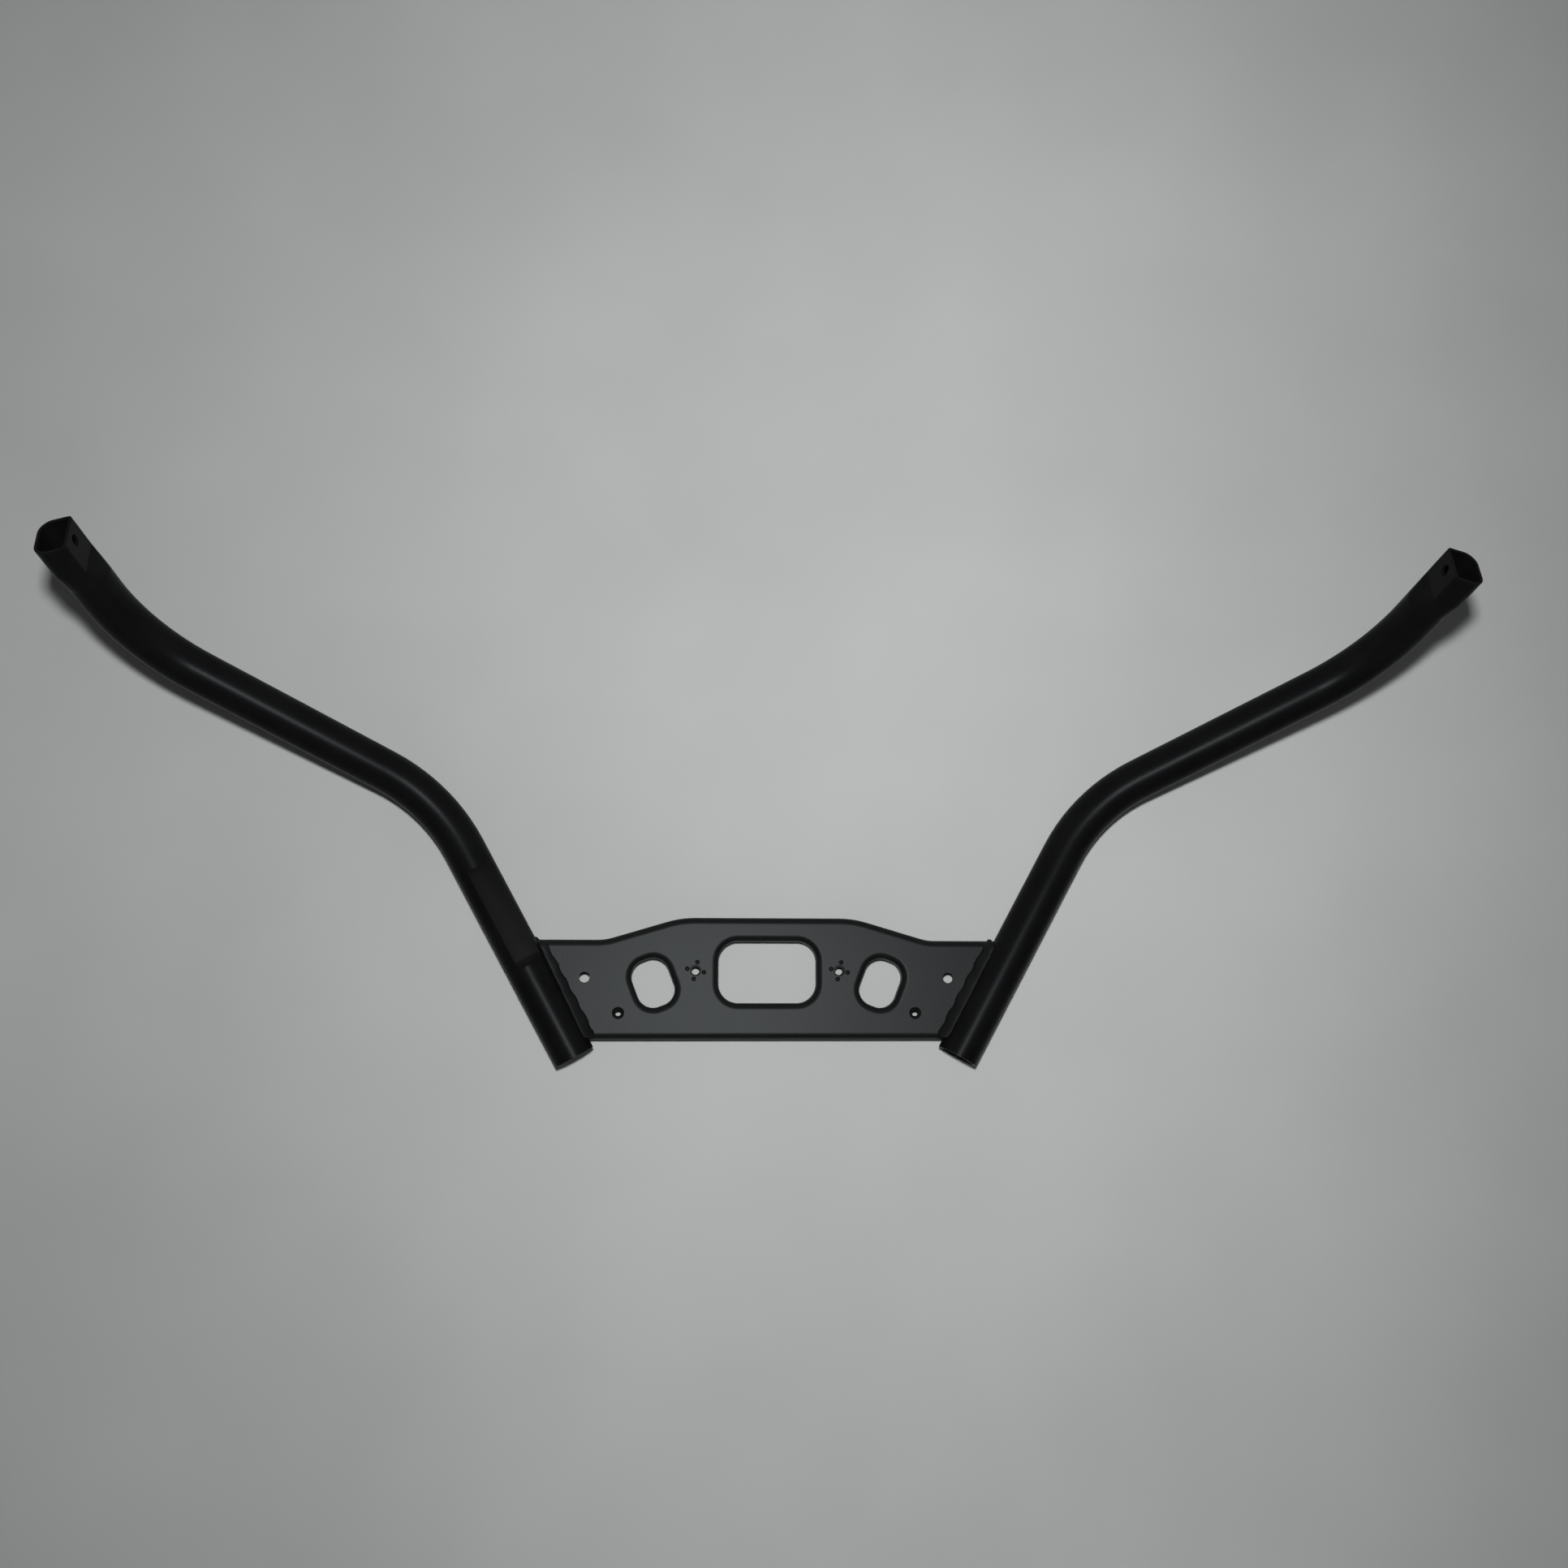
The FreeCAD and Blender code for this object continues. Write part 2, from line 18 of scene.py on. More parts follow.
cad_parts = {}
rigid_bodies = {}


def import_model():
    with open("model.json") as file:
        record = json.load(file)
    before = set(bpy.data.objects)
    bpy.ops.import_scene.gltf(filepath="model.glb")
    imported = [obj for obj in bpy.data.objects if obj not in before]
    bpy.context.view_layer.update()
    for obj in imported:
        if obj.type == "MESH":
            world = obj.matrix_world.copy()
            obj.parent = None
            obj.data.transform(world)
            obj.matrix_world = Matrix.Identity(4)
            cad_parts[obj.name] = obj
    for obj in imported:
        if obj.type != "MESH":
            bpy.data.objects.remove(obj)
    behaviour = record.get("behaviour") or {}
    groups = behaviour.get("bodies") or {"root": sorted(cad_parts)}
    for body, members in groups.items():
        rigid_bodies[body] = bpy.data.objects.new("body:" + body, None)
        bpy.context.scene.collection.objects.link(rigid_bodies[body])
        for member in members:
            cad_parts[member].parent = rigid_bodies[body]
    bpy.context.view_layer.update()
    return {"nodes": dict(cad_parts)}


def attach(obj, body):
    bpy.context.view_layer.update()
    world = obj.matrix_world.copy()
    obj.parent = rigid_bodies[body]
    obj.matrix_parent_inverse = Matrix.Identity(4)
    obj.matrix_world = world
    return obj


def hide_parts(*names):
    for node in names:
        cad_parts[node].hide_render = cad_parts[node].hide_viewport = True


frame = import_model()
nodes = frame["nodes"]
for leftover in [o for o in bpy.data.objects if o.name in ("Cube", "Light", "Camera")]:
    bpy.data.objects.remove(leftover)
print("solids:", sorted(nodes))

# %% [markdown]
# ## Camera
#
# The photograph was taken from about a metre away, a little left of the middle, with the lens
# level with the plate and tilted up. A camera could be turned with three angles, but a place
# and an aim point are easier to read and to correct, so the turn is worked out from them.

# %% Place the camera
CAMERA_AT = Vector((-0.0663, -0.9886, -0.0249))
CAMERA_AIM = Vector((0.0100, 0.0006, 0.1194))
FOCAL_LENGTH = 37.04
SENSOR_WIDTH = 36.0
NEAREST_SEEN = 0.02

camera_data = bpy.data.cameras.new("photo_camera")
camera_data.sensor_fit = "HORIZONTAL"
camera_data.sensor_width = SENSOR_WIDTH
camera_data.lens = FOCAL_LENGTH
camera_data.clip_start = NEAREST_SEEN
camera = bpy.data.objects.new("photo_camera", camera_data)
camera.location = CAMERA_AT
camera.rotation_euler = (CAMERA_AIM - CAMERA_AT).to_track_quat("-Z", "Y").to_euler()
bpy.context.scene.collection.objects.link(camera)
bpy.context.scene.camera = camera
print("camera to aim point: %.3f m" % (CAMERA_AIM - CAMERA_AT).length)

# %% [markdown]
# ## Stage
#
# The bumper lies against pale paper, which takes its shadow. A single wall would end in a hard
# line, so the paper is one sheet with a cove: an edge is pulled down the wall, spun through a
# quarter turn and pulled out as the floor. Its far side is clear, so that views from behind
# look through it.

# %% Roll out the paper
PAPER_Y = 0.0143
PAPER_HALF = 3.0
PAPER_TOP = 2.2
COVE_TOP = -0.42
COVE_RADIUS = 0.25
COVE_STEPS = 24
FLOOR_RUN = 2.6


def new_object(name, mesh_source):
    """Turn a bmesh into an object at the origin, and free the bmesh."""
    mesh = bpy.data.meshes.new(name)
    mesh_source.to_mesh(mesh)
    mesh_source.free()
    made = bpy.data.objects.new(name, mesh)
    bpy.context.scene.collection.objects.link(made)
    return made


def shade_smooth(thing):
    """Round off the look of a curved piece's facets."""
    for face in thing.data.polygons:
        face.use_smooth = True


def pull(source, edges, offset):
    """Extrude edges and move the new ones; returns the new edges."""
    grown = bmesh.ops.extrude_edge_only(source, edges=edges)["geom"]
    corners = [g for g in grown if isinstance(g, bmesh.types.BMVert)]
    bmesh.ops.translate(source, verts=corners, vec=offset)
    return [g for g in grown if isinstance(g, bmesh.types.BMEdge)
            and all(v in corners for v in g.verts)]


sheet = bmesh.new()
top_left = sheet.verts.new((-PAPER_HALF, PAPER_Y, PAPER_TOP))
top_right = sheet.verts.new((PAPER_HALF, PAPER_Y, PAPER_TOP))
rim = pull(sheet, [sheet.edges.new((top_left, top_right))], (0, 0, COVE_TOP - PAPER_TOP))
turned = bmesh.ops.spin(
    sheet, geom=rim + list({v for e in rim for v in e.verts}),
    cent=(0, PAPER_Y - COVE_RADIUS, COVE_TOP), axis=(1, 0, 0),
    angle=-math.pi / 2, steps=COVE_STEPS, use_duplicate=False)["geom_last"]
pull(sheet, [g for g in turned if isinstance(g, bmesh.types.BMEdge)], (0, -FLOOR_RUN, 0))
bmesh.ops.recalc_face_normals(sheet, faces=sheet.faces)
if sheet.faces[0].normal.y > 0:
    bmesh.ops.reverse_faces(sheet, faces=sheet.faces)
paper = new_object("paper", sheet)
shade_smooth(paper)
print("paper faces:", len(paper.data.polygons))

# %% [markdown]
# ## Clouding
#
# No sheet of paper and no sprayed coat is quite even: both drift a little lighter and darker.
# That drift could be painted, but soft noise on the object's own coordinates follows any shape.
# Paper and powder both need it, so it is a node group with one size to set.

# %% Group for the slow drift
DRIFT_DETAIL = 3.0
DRIFT_ROUGHNESS = 0.55


def new_group(name, inputs, outputs):
    """An empty shader node group with named number sockets, its first and last node."""
    group = bpy.data.node_groups.new(name, "ShaderNodeTree")
    for label in inputs:
        group.interface.new_socket(label, in_out="INPUT", socket_type="NodeSocketFloat")
    for label in outputs:
        group.interface.new_socket(label, in_out="OUTPUT", socket_type="NodeSocketFloat")
    return group, group.nodes.new("NodeGroupInput"), group.nodes.new("NodeGroupOutput")


clouding, taken, given = new_group("clouding", ["Scale"], ["Cloud"])
place = clouding.nodes.new("ShaderNodeTexCoord")
drift = clouding.nodes.new("ShaderNodeTexNoise")
drift.inputs["Detail"].default_value = DRIFT_DETAIL
drift.inputs["Roughness"].default_value = DRIFT_ROUGHNESS
clouding.links.new(place.outputs["Object"], drift.inputs["Vector"])
clouding.links.new(taken.outputs["Scale"], drift.inputs["Scale"])
clouding.links.new(drift.outputs["Fac"], given.inputs["Cloud"])
print("group:", clouding.name, [s.name for s in clouding.interface.items_tree])

# %% [markdown]
# The paper is matt and a little green. Its colour also darkens to both sides, which is painted
# light:
# the fall-off a sheet shows with the lamp near its middle. A nearer lamp would give that too, but
# would move the shadows, so the fall-off is painted into the paper's colour: the tint drops with
# the distance from an upright middle line.

# %% Paper finish
PAPER_DARK = (0.486, 0.496, 0.494, 1)
PAPER_LIGHT = (0.532, 0.543, 0.540, 1)
PAPER_CLOUD = 5.0
PAPER_ROUGHNESS = 0.85
PAPER_SHINE = 0.1
NOISE_LOW, NOISE_HIGH = 0.3, 0.7
# Painted light: where the paper's colour falls off from its middle, as lamp light does
PAINTED_FALLOFF_MIDDLE = 0.20
PAINTED_FALLOFF_END = 0.65
PAINTED_FALLOFF_LEVEL = 0.76


def new_material(name):
    """A material with its nodes and links."""
    material = bpy.data.materials.new(name)
    material.use_nodes = True
    return material, material.node_tree.nodes, material.node_tree.links


def place_group(steps, group, scale):
    """Put a node group into a material and set its scale."""
    box = steps.new("ShaderNodeGroup")
    box.node_tree = group
    box.inputs["Scale"].default_value = scale
    return box


def tint_between(steps, dark, light):
    """A colour ramp from dark to light over the range that noise really covers."""
    ramp = steps.new("ShaderNodeValToRGB")
    start, end = ramp.color_ramp.elements
    start.position, start.color = NOISE_LOW, dark
    end.position, end.color = NOISE_HIGH, light
    return ramp


paper_finish, steps, wires = new_material("pale_paper")
skin = steps["Principled BSDF"]
skin.inputs["Roughness"].default_value = PAPER_ROUGHNESS
skin.inputs["Specular IOR Level"].default_value = PAPER_SHINE
cloud = place_group(steps, clouding, PAPER_CLOUD)
tint = tint_between(steps, PAPER_DARK, PAPER_LIGHT)
wires.new(cloud.outputs["Cloud"], tint.inputs["Fac"])
# Painted light fall-off: the colour is darkened with the distance from an upright middle line
spot = steps.new("ShaderNodeTexCoord")
across = steps.new("ShaderNodeSeparateXYZ")
wires.new(spot.outputs["Object"], across.inputs["Vector"])
shifted = steps.new("ShaderNodeMath")
shifted.operation = "SUBTRACT"
shifted.inputs[1].default_value = PAINTED_FALLOFF_MIDDLE
wires.new(across.outputs["X"], shifted.inputs[0])
off_middle = steps.new("ShaderNodeMath")
off_middle.operation = "ABSOLUTE"
wires.new(shifted.outputs["Value"], off_middle.inputs[0])
painted_falloff = steps.new("ShaderNodeMapRange")
painted_falloff.interpolation_type = "SMOOTHSTEP"
painted_falloff.inputs["From Max"].default_value = PAINTED_FALLOFF_END
painted_falloff.inputs["To Min"].default_value = 1.0
painted_falloff.inputs["To Max"].default_value = PAINTED_FALLOFF_LEVEL
wires.new(off_middle.outputs["Value"], painted_falloff.inputs["Value"])
paper_tint_with_painted_falloff = steps.new("ShaderNodeVectorMath")
paper_tint_with_painted_falloff.operation = "SCALE"
wires.new(tint.outputs["Color"], paper_tint_with_painted_falloff.inputs[0])
wires.new(painted_falloff.outputs["Result"], paper_tint_with_painted_falloff.inputs["Scale"])
wires.new(paper_tint_with_painted_falloff.outputs["Vector"], skin.inputs["Base Color"])
side = steps.new("ShaderNodeNewGeometry")
clear = steps.new("ShaderNodeBsdfTransparent")
either = steps.new("ShaderNodeMixShader")
wires.new(side.outputs["Backfacing"], either.inputs["Fac"])
wires.new(skin.outputs["BSDF"], either.inputs[1])
wires.new(clear.outputs["BSDF"], either.inputs[2])
wires.new(either.outputs["Shader"], steps["Material Output"].inputs["Surface"])
paper.data.materials.append(paper_finish)
print("paper finished with", paper_finish.name, "in", len(steps), "nodes")

# %% [markdown]
# ## Light
#
# The shadows fall a little below each tube and lean towards the middle, so the key lamp stands
# just above the lens. The bright lines along the tubes and the grey of the plate come from a
# second lamp, level with the lens and well behind it. It could light the paper too, but then every
# shadow would be doubled, so one lamp is kept out of the shine and the other out of all the rest.

# %% Hang the lamps
KEY_AT = Vector((-0.079, -1.092, 0.119))
KEY_SIZE = 0.07
KEY_POWER = 11.6
GLINT_AT = Vector((0.015, -1.900, -0.020))
GLINT_SIZE = 0.12
GLINT_POWER = 25.0
LAMP_AIM = Vector((0.0, 0.0, 0.45))


def hang_lamp(name, at, size, power):
    """A small square lamp, aimed above the part so that the paper darkens downwards."""
    data = bpy.data.lights.new(name, "AREA")
    data.shape = "SQUARE"
    data.size = size
    data.energy = power
    lamp = bpy.data.objects.new(name, data)
    lamp.location = at
    lamp.rotation_euler = (LAMP_AIM - at).to_track_quat("-Z", "Y").to_euler()
    bpy.context.scene.collection.objects.link(lamp)
    print(name, "%.3f m away" % (LAMP_AIM - at).length)
    return lamp


hang_lamp("key_lamp", KEY_AT, KEY_SIZE, KEY_POWER).visible_glossy = False
hang_lamp("glint_lamp", GLINT_AT, GLINT_SIZE, GLINT_POWER).visible_diffuse = False

# %% [markdown]
# A dim world fills the shadows. It could be one even grey, but then the coat would mirror a dark
# room. So it is pale, like the paper, wherever it is looked at, mirrored or seen through glass.

# %% Fill light
FILL_LEVEL = 0.06
BACKGROUND_LEVEL = 0.40
FILL_COLOUR = (1.0, 1.0, 1.0, 1)
BACKGROUND_COLOUR = (0.98, 1.0, 1.0, 1)

world = bpy.data.worlds.new("studio")
world.use_nodes = True
bpy.context.scene.world = world
sky, links = world.node_tree.nodes, world.node_tree.links
fill = sky["Background"]
fill.inputs["Color"].default_value = FILL_COLOUR
fill.inputs["Strength"].default_value = FILL_LEVEL
seen = sky.new("ShaderNodeBackground")
seen.inputs["Color"].default_value = BACKGROUND_COLOUR
seen.inputs["Strength"].default_value = BACKGROUND_LEVEL
ray = sky.new("ShaderNodeLightPath")
looked_at = sky.new("ShaderNodeMath")
looked_at.operation = "MAXIMUM"
links.new(ray.outputs["Is Camera Ray"], looked_at.inputs[0])
links.new(ray.outputs["Is Glossy Ray"], looked_at.inputs[1])
looked_through = sky.new("ShaderNodeMath")
looked_through.operation = "MAXIMUM"
links.new(looked_at.outputs["Value"], looked_through.inputs[0])
links.new(ray.outputs["Is Transmission Ray"], looked_through.inputs[1])
pick = sky.new("ShaderNodeMixShader")
links.new(looked_through.outputs["Value"], pick.inputs["Fac"])
links.new(fill.outputs["Background"], pick.inputs[1])
links.new(seen.outputs["Background"], pick.inputs[2])
links.new(pick.outputs["Shader"], sky["World Output"].inputs["Surface"])
bpy.context.scene.view_settings.view_transform = "Standard"
print("fill %.2f, background %.2f" % (FILL_LEVEL, BACKGROUND_LEVEL))

# %% [markdown]
# ## Powder coat
#
# Powder melts into a skin with a faint orange peel, and its gloss is broken by specks too fine
# to see one by one. Both could be modelled as bumps in the mesh, but they are far smaller than
# a facet, so a second node group gives them as noise: a height for the peel, and a fine value
# that shifts the roughness.

# %% Group for peel and specks
SPECKS_PER_PEEL = 4.5
GRAIN_DETAIL = 1.0

powder, taken, given = new_group("powder", ["Scale"], ["Peel", "Speck"])
place = powder.nodes.new("ShaderNodeTexCoord")
peel = powder.nodes.new("ShaderNodeTexNoise")
finer = powder.nodes.new("ShaderNodeMath")
finer.operation = "MULTIPLY"
finer.inputs[1].default_value = SPECKS_PER_PEEL
speck = powder.nodes.new("ShaderNodeTexNoise")
for noise in (peel, speck):
    noise.inputs["Detail"].default_value = GRAIN_DETAIL
    powder.links.new(place.outputs["Object"], noise.inputs["Vector"])
powder.links.new(taken.outputs["Scale"], peel.inputs["Scale"])
powder.links.new(taken.outputs["Scale"], finer.inputs[0])
powder.links.new(finer.outputs["Value"], speck.inputs["Scale"])
powder.links.new(peel.outputs["Fac"], given.inputs["Peel"])
powder.links.new(speck.outputs["Fac"], given.inputs["Speck"])
print("group:", powder.name, [s.name for s in powder.interface.items_tree])

# %% [markdown]
# Every piece went through one spray booth, but they do not shine alike: drawn tube is smooth,
# pressed sheet is duller, and a weld stays rough under its coat. Separate materials would drift
# apart, so one function makes the finish and only takes the differences.

# %% Finishes of tubes, plate, welds and nuts
COAT_SHINE = 0.115
TUBE_SHINE = 0.044
COAT_TINT = (0.93, 1.00, 1.02, 1)
PEEL_SCALE = 620.0
COAT_CLOUD = 45.0


def powder_finish(name, dark, light, shine, roughness, play, peel_depth):
    """Black powder: clouded colour, roughness that plays about a mean, orange peel."""
    finish, steps, wires = new_material(name)
    skin = steps["Principled BSDF"]
    skin.inputs["Specular IOR Level"].default_value = shine
    skin.inputs["Specular Tint"].default_value = COAT_TINT
    cloud = place_group(steps, clouding, COAT_CLOUD)
    grain = place_group(steps, powder, PEEL_SCALE)
    tint = tint_between(steps, dark, light)
    wires.new(cloud.outputs["Cloud"], tint.inputs["Fac"])
    wires.new(tint.outputs["Color"], skin.inputs["Base Color"])
    gloss = steps.new("ShaderNodeMapRange")
    gloss.inputs["From Min"].default_value = NOISE_LOW
    gloss.inputs["From Max"].default_value = NOISE_HIGH
    gloss.inputs["To Min"].default_value = roughness - play
    gloss.inputs["To Max"].default_value = roughness + play
    wires.new(grain.outputs["Speck"], gloss.inputs["Value"])
    wires.new(gloss.outputs["Result"], skin.inputs["Roughness"])
    bump = steps.new("ShaderNodeBump")
    bump.inputs["Distance"].default_value = peel_depth
    wires.new(grain.outputs["Peel"], bump.inputs["Height"])
    wires.new(bump.outputs["Normal"], skin.inputs["Normal"])
    return finish


tube_coat = powder_finish(
    "tube_coat", dark=(0.0036, 0.0036, 0.0039, 1), light=(0.0052, 0.0052, 0.0056, 1),
    shine=TUBE_SHINE, roughness=0.345, play=0.03, peel_depth=0.00002)
plate_coat = powder_finish(
    "plate_coat", dark=(0.0050, 0.0051, 0.0053, 1), light=(0.0068, 0.0070, 0.0072, 1),
    shine=COAT_SHINE, roughness=0.40, play=0.03, peel_depth=0.00002)
weld_coat = powder_finish(
    "weld_coat", dark=(0.0042, 0.0042, 0.0045, 1), light=(0.0070, 0.0070, 0.0074, 1),
    shine=COAT_SHINE, roughness=0.50, play=0.05, peel_depth=0.00004)
nut_coat = powder_finish(
    "nut_coat", dark=(0.0048, 0.0048, 0.0050, 1), light=(0.0090, 0.0090, 0.0094, 1),
    shine=COAT_SHINE, roughness=0.46, play=0.05, peel_depth=0.00003)
COATS = {"tube": tube_coat, "plate": plate_coat, "weld": weld_coat, "nut": nut_coat}
for name, node in nodes.items():
    node.data.materials.clear()
    node.data.materials.append(COATS[name.split("_")[-1]])
print("coated:", len(nodes), "solids with", len(COATS), "finishes")

# %% [markdown]
# ## Weld beads
#
# A hand-laid bead is a row of overlapping puddles: each one freezes as a leaning disc over the
# one before, and the row swells a little where the hand slows down. A smooth bar with a ripple
# texture would keep a straight edge, so each puddle is its own flattened ball, laid in the corner
# between tube and plate. The balls sink into both, so only their crescents show.

# %% Where tube and plate meet
TUBE_RADIUS = 0.0127
LEG_FOOT = Vector((0.1163, 0.00125, -0.0478))
LEG_RUN = Vector((0.0859, 0.0, 0.1562)).normalized()
PLATE_SIDE = Vector((-LEG_RUN.z, 0.0, LEG_RUN.x))
PLATE_LOW = -0.0373
PLATE_HIGH = 0.0227
RIM_RADIUS = 0.0040


def plate_depth(height):
    """How far back the plate's near face lies at a height: it rolls back at both edges."""
    into_roll = max(PLATE_LOW + RIM_RADIUS - height, height - PLATE_HIGH + RIM_RADIUS, 0.0)
    return RIM_RADIUS - math.sqrt(RIM_RADIUS ** 2 - into_roll ** 2)


def joint_at(depth, height):
    """Point of the right tube's skin on the plate's side, at a depth and a height."""
    out = math.sqrt(TUBE_RADIUS ** 2 - (depth - LEG_FOOT.y) ** 2)
    along = (height - LEG_FOOT.z - out * PLATE_SIDE.z) / LEG_RUN.z
    skin_at = LEG_FOOT + LEG_RUN * along + PLATE_SIDE * out
    skin_at.y = depth
    return skin_at


for height in (PLATE_LOW, PLATE_HIGH):
    print("the joint passes", [round(v, 4) for v in joint_at(0.0, height)])

# %% [markdown]
# Every puddle is the same ball, stretched in three directions and leant a little. A new ball could
# be made each time, but that is slow in a mesh that keeps growing, so one ball, a single unit
# across, is made and copied.

# %% One puddle
PUDDLE_LEAN = math.radians(9)
BALL_SIDES = 28
BALL_RINGS = 18
BALL_RADIUS = 0.5

ball_source = bmesh.new()
bmesh.ops.create_uvsphere(ball_source, u_segments=BALL_SIDES, v_segments=BALL_RINGS,
                          radius=BALL_RADIUS)
ball = bpy.data.meshes.new("ball")
ball_source.to_mesh(ball)
ball_source.free()


def puddle(metal, at, run, face, lengths):
    """One flattened ball, with its length along the run, its thickness and its width."""
    axes = Matrix((run, face, run.cross(face))).transposed().to_4x4()
    lean = Matrix.Rotation(PUDDLE_LEAN, 4, "Z")
    drop = ball.copy()
    drop.transform(Matrix.Translation(at) @ axes @ lean @ Matrix.Diagonal((*lengths, 1.0)))
    metal.from_mesh(drop)
    bpy.data.meshes.remove(drop)


print("ball:", len(ball.polygons), "faces")

# %% [markdown]
# A puddle bridges the corner: one side rests on the plate and the other on the tube. Setting it by
# a centre and an angle would leave gaps where the plate rolls away, so both resting points are
# found on the surfaces first, and the puddle is stretched between them.

# %% A row of puddles
PUDDLE_PITCH = 0.0015
PUDDLE_LENGTH = 0.0066
PUDDLE_THICK = 0.0020
PUDDLE_PLAY = 0.04
SWELL = 0.09
SWELL_PITCH = 0.0125
BACK_DEPTH = 0.0025
LEFT, RIGHT = -1, 1


def weld_bead(name, side, near, heights, toe, rises, seed, extras=()):
    """A row of puddles up one joint, on the LEFT or the RIGHT.

    A near bead lies on the plate's near face and follows its rolled edges. The toe is how far
    the bead reaches over the plate, and the rise how far it climbs the tube, at its low and its
    high end. Extras are single puddles: a place and three lengths each.
    """
    chance = random.Random(seed)
    flip = Vector((side, 1.0, 1.0))
    outwards = Vector((0.0, -1.0 if near else 1.0, 0.0))
    low, high = heights
    count = round((high - low) / LEG_RUN.z / PUDDLE_PITCH)
    metal = bmesh.new()
    for step in range(count + 1):
        share = step / count
        height = low + (high - low) * share
        swell = 1 + SWELL * math.sin(2 * math.pi * step * PUDDLE_PITCH / SWELL_PITCH + seed)
        rise = rises[0] + (rises[1] - rises[0]) * share
        depth = plate_depth(height) if near else BACK_DEPTH
        on_plate = joint_at(depth, height) + PLATE_SIDE * toe * swell
        on_tube = joint_at(depth + outwards.y * rise, height)
        width = on_tube - on_plate
        face = LEG_RUN.cross(width).normalized() * -outwards.y
        lengths = [length * chance.uniform(1 - PUDDLE_PLAY, 1 + PUDDLE_PLAY)
                   for length in (PUDDLE_LENGTH, PUDDLE_THICK, width.length)]
        puddle(metal, (on_plate + on_tube) / 2 * flip, LEG_RUN * flip, face * flip, lengths)
    for at, lengths in extras:
        puddle(metal, at * flip, LEG_RUN * flip, outwards, lengths)
    bmesh.ops.recalc_face_normals(metal, faces=metal.faces)
    bead = new_object(name, metal)
    shade_smooth(bead)
    bead.data.materials.append(weld_coat)
    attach(bead, "root")
    print(name, count + 1 + len(extras), "puddles")
    return bead


print("a puddle every %.1f mm" % (PUDDLE_PITCH * 1000))

# %% [markdown]
# The near beads run nearly the whole height of the plate, and the far ones stop short of its
# folded edges. One bead could be mirrored to all four joints, but no hand lays two alike. The left
# near one is flatter at its top, so it takes more light there, and ends in a soft run-out up the
# tube. The right near one ends in a small blob on the plate's top edge.

# %% Lay the four beads
FOOT_GAP = 0.0026
TOP_GAP = 0.0052
FOLD_GAP = 0.0070
FRONT_TOE = 0.0046
LEFT_RISES = 0.0058, 0.0016
RIGHT_RISES = 0.0050, 0.0046
BACK_TOE = 0.0034
BACK_RISES = BACK_TOE, BACK_TOE
RUN_OUT_DEPTH, RUN_OUT_DROP = 0.0040, 0.0022
RUN_OUT_SIZE = 0.0090, 0.0052, 0.0040
BLOB_DEPTH, BLOB_DROP, BLOB_OFF_TUBE = 0.0030, 0.0016, 0.0022
BLOB_SIZE = 0.0034, 0.0036, 0.0034

front = PLATE_LOW + FOOT_GAP, PLATE_HIGH - TOP_GAP
back = PLATE_LOW + FOLD_GAP, PLATE_HIGH - FOLD_GAP
run_out = joint_at(RUN_OUT_DEPTH, PLATE_HIGH - RUN_OUT_DROP), RUN_OUT_SIZE
blob_at = joint_at(BLOB_DEPTH, PLATE_HIGH - BLOB_DROP) + PLATE_SIDE * BLOB_OFF_TUBE
top_blob = blob_at, BLOB_SIZE

left_front = weld_bead("left_front_bead", LEFT, near=True, heights=front, toe=FRONT_TOE,
                       rises=LEFT_RISES, seed=3, extras=[run_out])
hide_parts("left_front_weld")
right_front = weld_bead("right_front_bead", RIGHT, near=True, heights=front, toe=FRONT_TOE,
                        rises=RIGHT_RISES, seed=8, extras=[top_blob])
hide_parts("right_front_weld")
left_back = weld_bead("left_back_bead", LEFT, near=False, heights=back, toe=BACK_TOE,
                      rises=BACK_RISES, seed=5)
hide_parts("left_back_weld")
right_back = weld_bead("right_back_bead", RIGHT, near=False, heights=back, toe=BACK_TOE,
                       rises=BACK_RISES, seed=6)
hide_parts("right_back_weld")

# %% [markdown]
# ## Weld nuts
#
# Behind the two inner holes sit square nuts with an M6 thread. A nut starts as a turned blank, so
# a profile is spun into a thick washer with a coned edge. Four cuts square it, which leaves the
# cone as a curved chamfer at each corner. The thread could be a texture, but it is seen edge-on
# in the bore, so it is a ridge: a tapered section is spun round the bore while it climbs, and is
# cut off flush with both faces.

# %% Spin and cut
AXIS = Vector((0.0, 1.0, 0.0))
CUT_TOLERANCE = 1e-7


def close_holes(solid):
    """Cover every open rim and turn all faces outwards."""
    bmesh.ops.holes_fill(solid, edges=[e for e in solid.edges if e.is_boundary], sides=0)
    bmesh.ops.recalc_face_normals(solid, faces=solid.faces)


def spun(section, turns, steps, climb=0.0):
    """Spin a closed section about Y: one turn gives a ring, and a climb gives a screw."""
    solid = bmesh.new()
    corners = [solid.verts.new((radius, height, 0.0)) for radius, height in section]
    loop = [solid.edges.new(pair) for pair in zip(corners, corners[1:] + corners[:1])]
    bmesh.ops.spin(solid, geom=corners + loop, cent=(0, 0, 0), axis=AXIS,
                   dvec=AXIS * (climb * turns / steps), angle=2 * math.pi * turns, steps=steps,
                   use_merge=climb == 0.0, use_duplicate=False)
    close_holes(solid)
    return solid


def cut_away(solid, at, outwards):
    """Cut a closed shape with a plane, drop what lies outwards of it and close the cut."""
    everything = list(solid.verts) + list(solid.edges) + list(solid.faces)
    bmesh.ops.bisect_plane(solid, geom=everything, dist=CUT_TOLERANCE, plane_co=at,
                           plane_no=outwards, clear_outer=True)
    close_holes(solid)


print("spins turn about", AXIS[:])

